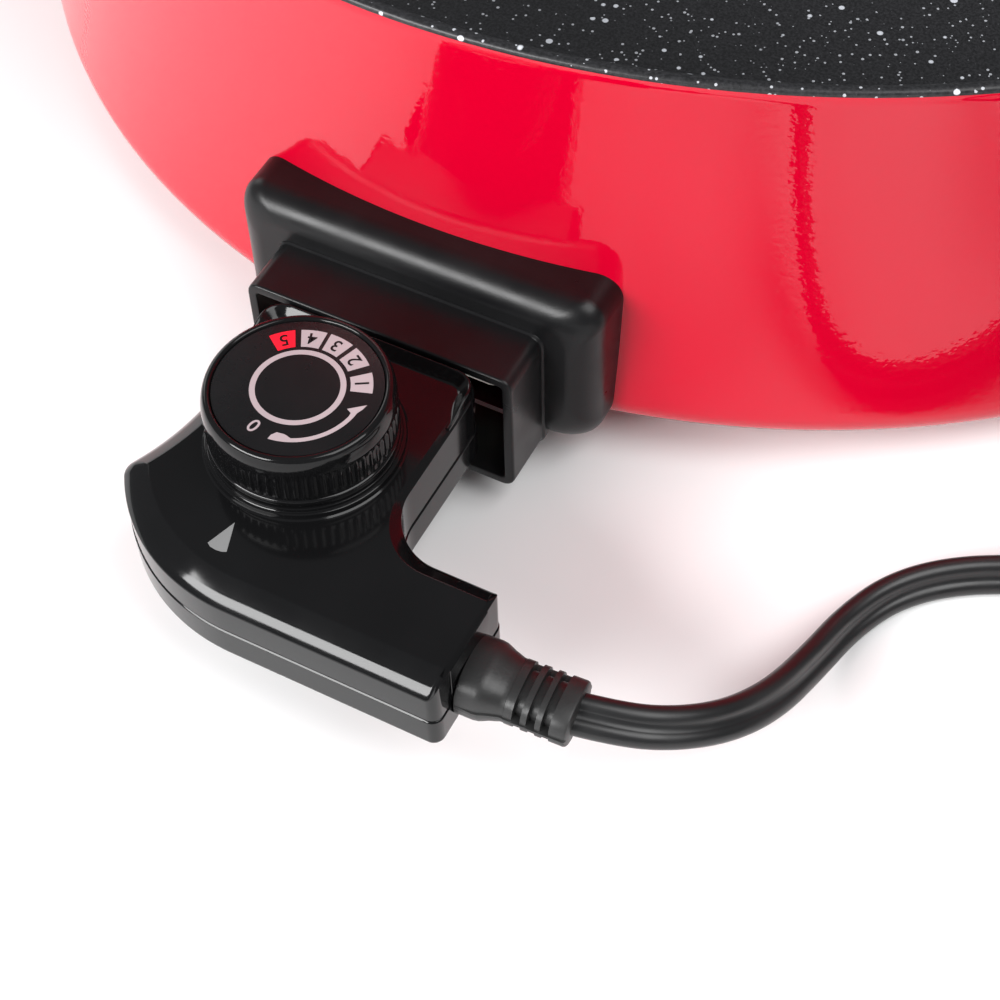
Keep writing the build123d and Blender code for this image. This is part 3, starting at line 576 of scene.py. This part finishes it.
def case_outline(flat=None, tiny=0.35):
    """Each outline vertex: its outer point, the inner point where the shoulder meets the deck, and its depth.

    flat is one depth for all sides instead of their own; tiny is the radius of the inner points' corners.
    """
    out = []
    for i, (pts, width, radius) in enumerate(sides):
        next_pts, next_width, _ = sides[(i + 1) % len(sides)]
        last_pts, _, last_radius = sides[i - 1]
        r1 = width if flat is None else flat
        r2 = next_width if flat is None else flat
        vertex_in, corner_v = Vector(pts[0]), Vector(pts[-1])
        t_prev, t_here = way(last_pts[-2], last_pts[-1]), way(pts[0], pts[1])
        t_end, t_next = way(pts[-2], pts[-1]), way(next_pts[0], next_pts[1])
        turn_in = acos(max(-1, min(1, t_prev.dot(t_here))))
        turn_out = acos(max(-1, min(1, t_end.dot(t_next))))
        cut_in = last_radius * tan(turn_in / 2)
        cut_out = radius * tan(turn_out / 2)
        # the side itself, away from its corners
        for j, p in enumerate(pts):
            v = Vector(p)
            if (v - vertex_in).length <= cut_in + 0.3 or (v - corner_v).length <= cut_out + 0.3:
                continue
            t = way(pts[max(j - 1, 0)], pts[min(j + 1, len(pts) - 1)])
            out.append((v, v + inward(t) * r1, r1))
        # the corner after it
        m1, m2 = inward(t_end), inward(t_next)
        convex = t_end.x * t_next.y - t_end.y * t_next.x > 0
        start = corner_v - t_end * cut_out
        if convex:
            centre = start + m1 * radius
            # centre of the small inner corner: at r1 + tiny from one side and r2 + tiny from the other
            k1, k2 = corner_v.dot(m1) + r1 + tiny, corner_v.dot(m2) + r2 + tiny
            det = m1.x * m2.y - m1.y * m2.x
            core = Vector(((k1 * m2.y - k2 * m1.y) / det, (m1.x * k2 - m2.x * k1) / det))
        else:
            centre = start - m1 * radius
        n = 10 if convex else 16
        for k in range(n + 1):
            f = k / n
            ang = turn_out * f * (1 if convex else -1)
            m = Vector((m1.x * cos(ang) - m1.y * sin(ang), m1.x * sin(ang) + m1.y * cos(ang)))
            ease = 3 * f * f - 2 * f**3
            depth = r1 + (r2 - r1) * ease
            if convex:
                p = centre - m * radius
                q = core - m * tiny if max(r1, r2) > radius - 0.4 else p + m * depth
            else:
                p = centre + m * radius
                q = p + m * depth
            out.append((p, q, depth))
    return out


def ring_at(points, f, z_of):
    """The ring at that fraction of the way from the outer to the inner points; z_of gives height from depth."""
    return [(p.x + (q.x - p.x) * f, p.y + (q.y - p.y) * f, z_of(h)) for p, q, h in points]


def inset(points, d):
    """The outline with its outer points moved in by d; out, where d is negative."""
    return [(p + (q - p).normalized() * d, q, h) for p, q, h in points]


def shoulder_section():
    """The shoulder's section from its edge up to the deck, as fractions of its width: (along, drop)."""
    # (fraction, slope in degrees) from the deck outwards, then an arc of the edge's radius down to upright
    slopes = [(1.0, 0), (0.93, 31), (0.385, 34.5), (0.345, 37), (0.0254, 52)]
    edge, pieces = 0.12, 6
    points, drop = [(1.0, 0.0)], 0.0
    for (a0, t0), (a1, t1) in zip(slopes, slopes[1:]):
        for k in range(pieces):
            drop += (a0 - a1) / pieces * tan(radians(t0 + (t1 - t0) * (k + 0.5) / pieces))
            points.append((a0 + (a1 - a0) * (k + 1) / pieces, drop))
    steepest = radians(slopes[-1][1])
    for t in range(55, 95, 5):
        points.append((edge * (1 - sin(radians(t))), drop + edge * (cos(steepest) - cos(radians(t)))))
    return points[::-1]


PARTING, DECK, LOW = 31.3, 43.8, 22.0
# the lower half stands proud of the upper by STEP, and its bottom edge is rounded by LOW_SOFT
STEP, LOW_SOFT = 0.2, 1.8
outline = case_outline()
lower = inset(case_outline(LOW_SOFT), -STEP)
rings = []
for inset_by, above in ((1.6, 0.12), (0.30, 0.12), (0.09, 0.20), (0.0, 0.42)):
    rings.append(ring_at(inset(outline, inset_by), 0, lambda h, above=above: PARTING + above))
for along, drop in shoulder_section():
    rings.append(ring_at(outline, along, lambda h, drop=drop: DECK - h * drop))
case_top = from_grid("case_top", rings, capped=True)
rings = []
for inset_by, below in ((1.6, 0.10), (0.36, 0.10), (0.32, 0.12), (0.04, 0.38), (0.01, 0.43), (0.0, 0.50)):
    rings.append(ring_at(inset(lower, inset_by), 0, lambda h, below=below: PARTING - below))
for k in range(0, 9):
    t = radians(90 * k / 8)
    rings.append(ring_at(lower, 1 - cos(t), lambda h, t=t: LOW + LOW_SOFT * (1 - sin(t))))
case_base = from_grid("case_base", rings, capped=True)
# bores for the pins and the sheath, (x, radius), and the places of the wells for the screws underneath
BORES = ((-13, 3.4), (13, 3.4), (0, 3.1))
WELLS = ((22.9, -243), (-22.9, -247), (-20, -284), (41, -283))
for piece, node in ((case_top, "thermostat_top"), (case_base, "thermostat_base")):
    tidy_mesh(piece)
    cutters = [rod((x, -229, 32), (0, -1, 0), r, 20.5) for x, r in BORES]
    if piece is case_base:
        cutters += [rod((x, y, 20), (0, 0, 1), 2.9, 6.4) for x, y in WELLS]
    cut(piece, cutters)
    tidy_mesh(piece, 42, weighted=True)
    dress(piece, "black_gloss", "thermostat")
    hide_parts(node)

# the raised lip round the neck's rear, just outside the tunnel; it runs out along both sides
LIP_X, LIP_START, LIP_BEND, LIP_REAR, LIP_R = 26.6, -246.0, -237.1, -231.9, 5.2
LIP_TALL = 2.33
bend = [radians(a) for a in range(9, 90, 9)]
lip_path = run((-LIP_X, LIP_START), (-LIP_X, LIP_BEND), 1.0)
lip_path += [(-LIP_X + LIP_R * (1 - cos(a)), LIP_BEND + LIP_R * sin(a)) for a in bend]
lip_path += run((-21.4, LIP_REAR), (21.4, LIP_REAR), 3.0)
lip_path += [(LIP_X - LIP_R * (1 - sin(a)), LIP_BEND + LIP_R * cos(a)) for a in bend]
lip_path += run((LIP_X, LIP_BEND), (LIP_X, LIP_START), 1.0)
rings = []
for i, (x, y) in enumerate(lip_path):
    before, after = lip_path[max(i - 1, 0)], lip_path[min(i + 1, len(lip_path) - 1)]
    t = way(before, after)
    inner = Vector((t.y, -t.x))
    rise = min(abs(y - LIP_START), 8.9) / 8.9
    tall = 0.02 + LIP_TALL * (3 * rise**2 - 2 * rise**3)
    section = [(0.0, -0.5), (0.0, tall - 0.30), (0.06, tall - 0.12), (0.2, tall - 0.02), (0.36, tall)]
    section += [(0.5, tall - 0.03)]
    section += [(0.5 + tall * f, tall * (1 - f) - 0.03 + 0.03 * f) for f in (0.15, 0.4, 0.65, 0.85)]
    section += [(0.62 + tall, 0.04), (0.85 + tall, -0.02), (0.9 + tall, -0.5)]
    rings.append([(x + inner.x * u, y + inner.y * u, DECK + v) for u, v in section])
lip = from_grid("neck_lip", rings, capped=True)
tidy_mesh(lip, 40, weighted=True)
dress(lip, "black_gloss", "thermostat")

# the plate in the arm's end face that closes round the strain relief
plate_rings = []
for x, grow in ((54.8, 0.0), (END_FACE, 0.0), (END_FACE + 0.12, -0.1), (END_FACE + 0.16, -0.25)):
    y0, y1, z0, z1 = -299.6 - grow, -283.6 + grow, LOW + 1.6 - grow, DECK - 0.9 + grow
    plate_rings.append([(x, y0, z0), (x, y1, z0), (x, y1, z1), (x, y0, z1)])
plate = from_grid("end_plate", plate_rings, capped=True)
tidy_mesh(plate, 30)
dress(plate, "black_gloss", "thermostat")


# ---------------------------------------------------------------- print on the deck and the dial
def flat_shape(name, outline_points, z, material, body, thick=0.05):
    """A thin printed shape with that outline, in millimetres, seen from above."""
    rings = [[(x, y, zz) for x, y in outline_points] for zz in (z, z + thick)]
    piece = from_grid(name, rings, capped=True)
    tidy_mesh(piece, 30)
    dress(piece, material, body)


pointer = [(-1.7, -288.3), (-4.0, -295.3), (-3.0, -295.9), (-1.6, -296.1), (-0.2, -295.95), (0.8, -295.5)]
flat_shape("deck_pointer", pointer, DECK, "print_grey", "thermostat")

# ---------------------------------------------------------------- collar, knob and its printed disc
collar_profile = [
    (17.5, 43.6), (17.5, 46.35), (20.9, 46.35), (21.1, 46.25), (21.18, 46.05), (21.18, 45.55), (21.3, 45.42),
    (21.7, 45.38), (21.88, 45.25), (21.95, 45.0), (21.95, 44.5), (22.1, 44.1), (22.5, 43.86), (22.6, 43.6),
]
collar = lathe("dial_ring", collar_profile + [collar_profile[0]], 192, (0, DIAL_Y))
tidy_mesh(collar, 35)
dress(collar, "black_gloss", "thermostat")
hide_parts("dial_collar")

RIBS, RIB_TALL = 66, 0.42
# from the skirt up past the grip's ribs and the head to the recess for the printed disc
knob_profile = [
    (17.6, 56.0), (17.6, 46.8), (20.1, 46.8), (20.75, 46.9), (20.9, 47.1), (20.9, 48.2), (20.75, 48.45),
    (20.45, 48.6), (20.45, 48.8), (20.6, 49.0), (20.6, 49.3), (20.5, 49.6), (20.5, 51.0), (20.5, 52.5),
    (20.5, 54.0), (20.5, 55.4), (20.6, 56.3), (20.85, 56.9), (20.9, 57.6), (20.8, 58.8), (20.6, 59.8),
    (20.38, 60.5), (20.2, 60.95), (19.95, 61.3), (19.6, 61.52), (19.2, 61.6), (18.95, 61.55), (18.75, 61.4),
    (18.6, 61.1), (18.5, 60.7), (18.4, 60.6), (0.01, 60.6),
]


def ribbed(r, z, a):
    """The knob's radius with its grip ribs, which fade out at both ends."""
    if not 49.5 < z < 56.1:
        return r
    phase = (a * RIBS / (2 * pi)) % 1.0
    fin = max(0.0, 1 - abs(phase - 0.5) / 0.27)
    fade = min(1.0, (z - 49.3) / 0.5, (56.4 - z) / 0.9)
    return r + RIB_TALL * sqrt(fin) * fade


knob = lathe("ribbed_knob", knob_profile + [(0.01, 56.0), knob_profile[0]], RIBS * 10, (0, DIAL_Y), ribbed)
tidy_mesh(knob, 48)
dress(knob, "black_gloss", "dial")
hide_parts("dial_knob")

DISC = 61.06
disc_profile = [(0.01, 60.62), (18.3, 60.62), (18.38, 60.8), (18.3, DISC - 0.02), (18.1, DISC), (0.01, DISC)]
disc = lathe("dial_disc", disc_profile, 160, (0, DIAL_Y))
tidy_mesh(disc, 40)
dress(disc, "dial_print", "dial")
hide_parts("dial_label")


def polar(r, a):
    """A point on the dial from its radius and its angle in degrees."""
    return (r * cos(radians(a)), DIAL_Y + r * sin(radians(a)))


INK = 0.04
ring_profile = [(9.0, DISC), (10.25, DISC), (10.25, DISC + INK), (9.0, DISC + INK), (9.0, DISC)]
ring = lathe("print_ring", ring_profile, 160, (0, DIAL_Y))
tidy_mesh(ring, 30)
dress(ring, "print_pale", "dial")
marks = (("1", 30.6), ("2", 58.9), ("3", 83.7), ("4", 107.7), ("5", 133.3))
BLOCK_IN, BLOCK_OUT, half, half_in = 11.15, 15.9, 10.4, 10.4 - 0.6
for figure, angle in marks:
    block_points = [polar(BLOCK_OUT, angle - half + 2 * half * i / 8) for i in range(9)]
    block_points += [polar(BLOCK_IN, angle + half_in - 2 * half_in * i / 6) for i in range(7)]
    ink = "print_red" if figure == "5" else "print_pale"
    flat_shape(f"print_block_{figure}", block_points, DISC, ink, "dial", INK)
arrow = [polar(14.75, -83.8 + 81.8 * i / 24) for i in range(25)]
arrow += [polar(15.3, 3.0), polar(15.7, 8.2), polar(13.9, 3.5), polar(12.3, -2.2), polar(13.55, -4.5)]
arrow += [polar(13.75, -8 - 57 * i / 16) for i in range(17)]
arrow += [polar(13.0, -69.5), polar(12.75, -72), polar(12.6, -79.0), polar(13.6, -83.0)]
flat_shape("print_arrow", arrow, DISC, "print_pale", "dial", INK)


def digit(figure, radius, angle, size, material, z):
    """One figure on the dial, its foot towards the dial's middle."""
    text = bpy.data.curves.new(f"figure_{figure}", "FONT")
    text.body = figure
    text.size = size * MM
    text.align_x = "CENTER"
    text.align_y = "CENTER"
    text.extrude = 0.02 * MM
    text.offset = 0.04 * MM
    holder = link(f"figure_{figure}", text)
    bpy.context.view_layer.update()
    mesh = bpy.data.meshes.new_from_object(holder.evaluated_get(bpy.context.evaluated_depsgraph_get()))
    bpy.data.objects.remove(holder)
    low = [min(v.co[k] for v in mesh.vertices) for k in range(2)]
    high = [max(v.co[k] for v in mesh.vertices) for k in range(2)]
    x, y = polar(radius, angle)
    mesh.transform(Matrix.Translation((-(low[0] + high[0]) / 2, -(low[1] + high[1]) / 2, 0)))
    turned = Matrix.Rotation(radians(angle + 90), 4, "Z")
    mesh.transform(Matrix.Translation((x * MM, y * MM, z * MM)) @ turned)
    piece = link(f"print_figure_{figure}", mesh)
    dress(piece, material, "dial")


for figure, angle in marks:
    digit(figure, 13.5, angle, 4.3, "dial_print", DISC + 0.06)
digit("0", 13.3, -102.2, 4.6, "print_pale", DISC + 0.02)

# ---------------------------------------------------------------- strain relief
SLOTS = (13.1, 16.3, 19.4)
SLOT_W, SLOT_WAIST = 1.65, 0.74
RELIEF_L, LEDGE, SQUARENESS = 24.1, 0.35, 2.6
# (distance from the end face, half width, half height)
relief_marks = [
    (-3.5, 6.0, 4.6), (-0.3, 6.0, 4.6), (-0.2, 8.3, 6.9), (0.0, 8.55, 7.1), (4.0, 8.6, 7.15), (5.2, 8.45, 6.95),
    (7.2, 7.7, 6.0), (9.4, 7.05, 5.3), (10.2, 7.0, 5.25), (10.3, 7.12, 5.38), (RELIEF_L - 0.7, 7.25, 5.45),
    (RELIEF_L - 0.25, 7.1, 5.3), (RELIEF_L, 6.7, 4.9),
]


def relief_half(s):
    """The relief's half width and half height at distance s."""
    for (s0, a0, b0), (s1, a1, b1) in zip(relief_marks, relief_marks[1:]):
        if s <= s1:
            f = (s - s0) / (s1 - s0)
            return a0 + (a1 - a0) * f, b0 + (b1 - b0) * f
    return relief_marks[-1][1:]


slot_steps = (-SLOT_W / 2 - 0.12, -SLOT_W / 2, -SLOT_W / 2 + 0.05, SLOT_W / 2 - 0.05, SLOT_W / 2, SLOT_W / 2 + 0.12)
stations = {m[0] for m in relief_marks} | {x + e for x in SLOTS for e in slot_steps} | {5.8, 6.4, 8.0, 8.8}
angles = sorted(set(range(0, 360, 4)) | {3.0, 3.5, 176.5, 177.0, 355.0, 356.5, 183.0, 184.5})
start_point = relief_root + relief_way * ((END_FACE - relief_root.x) / relief_way.x)
flat_axis = Vector((0, -1, 0)) - relief_way * Vector((0, -1, 0)).dot(relief_way)
flat_axis.normalize()
tall_axis = relief_way.cross(flat_axis)
if tall_axis.z < 0:
    tall_axis = -tall_axis
rings = []
for s in sorted(stations):
    a_half, b_half = relief_half(s)
    in_slot = any(abs(s - x) < SLOT_W / 2 for x in SLOTS)
    ring = []
    for ang in angles:
        c, d = cos(radians(ang)), sin(radians(ang))
        k = (abs(c) ** SQUARENESS + abs(d) ** SQUARENESS) ** (-1 / SQUARENESS)
        x, y = a_half * k * c, b_half * k * d
        shrink = 1.0
        if in_slot and (3.2 < ang < 176.8 or 190 < ang < 350):
            shrink = SLOT_WAIST
        # the mould's parting ledge runs along both sides
        ledge = LEDGE if (ang <= 3.0 or ang >= 355.0 or 177.0 <= ang <= 183.0) and s > 0 else 0.0
        across = x * shrink + (ledge if c > 0 else -ledge)
        p = start_point + relief_way * s + flat_axis * across + tall_axis * (y * shrink)
        ring.append(tuple(p))
    rings.append(ring)
relief = from_grid("slotted_relief", rings, capped=True)
tidy_mesh(relief, 38)
dress(relief, "black_rubber", "thermostat")
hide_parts("strain_relief")


# ---------------------------------------------------------------- CAD nodes that stay, with softened edges
def keep(node, material, bevel):
    """Gives a CAD node its material and, where bevel is not 0, edges softened by that many millimetres."""
    piece = nodes[node]
    piece.data.materials.clear()
    piece.data.materials.append(M[material])
    for polygon in piece.data.polygons:
        polygon.material_index = 0
    if bevel:
        soft = piece.modifiers.new("soft", "BEVEL")
        soft.width = bevel * MM
        soft.segments = 2
        soft.limit_method = "ANGLE"
        soft.angle_limit = radians(35)


slots = {s["node"]: s["material_slot"] for s in frame["record"]["subparts"]}
bevels = {"bottom_cover": 0.3, "stand_ring": 0.4, "foot_ring": 0.3, "terminal_block": 0.3,
          "plug_body": 0.6, "plug_blade_left": 0.15, "plug_blade_right": 0.15}
replaced = {
    "outer_shell", "inner_pan", "probe_guard", "thermostat_top", "thermostat_base", "dial_collar", "dial_knob",
    "dial_label", "strain_relief", "power_cord", "cord_coil", "cord_tail",
}
for node, piece in nodes.items():
    if node in replaced:
        continue
    keep(node, slots[node], bevels.get(node, 0.0))
    piece.data.shade_smooth()
    piece.data.set_sharp_from_angle(angle=radians(32))

# ---------------------------------------------------------------- floor and light
FAR = 8
floor_mesh = bpy.data.meshes.new("floor")
floor_mesh.from_pydata([(-FAR, -FAR, 0), (FAR, -FAR, 0), (FAR, FAR, 0), (-FAR, FAR, 0)], [], [(0, 1, 2, 3)])
floor = link("floor", floor_mesh)
floor_mat, _ = shader("floor", (0.90, 0.90, 0.90), 0.9, specular=0.1)
floor.data.materials.append(floor_mat)

world = bpy.data.worlds.new("studio")
world.use_nodes = True
background = world.node_tree.nodes["Background"]
background.inputs["Color"].default_value = (0.95, 0.97, 1.0, 1)
background.inputs["Strength"].default_value = 0.24
scene.world = world


def softbox(name, place, target, width, height, power):
    """A rectangular soft light in metres and watts, turned towards target."""
    data = bpy.data.lights.new(name, "AREA")
    data.shape = "RECTANGLE"
    data.size, data.size_y = width, height
    data.energy = power
    lamp = bpy.data.objects.new(name, data)
    scene.collection.objects.link(lamp)
    lamp.location = place
    lamp.rotation_euler = (Vector(target) - Vector(place)).to_track_quat("-Z", "Y").to_euler()


# the first light's lower edge makes the bright band along the case's shoulder
softbox("front_left", (-0.615, -1.552, 0.875), (0.0, -0.27, 0.04), 1.15, 0.57, 44)
softbox("overhead", (1.1, -0.3, 1.6), (0.0, -0.1, 0.0), 1.2, 1.2, 25)
softbox("back_left", (-1.7, 0.6, 0.9), (0.0, 0.0, 0.0), 1.0, 1.0, 8)
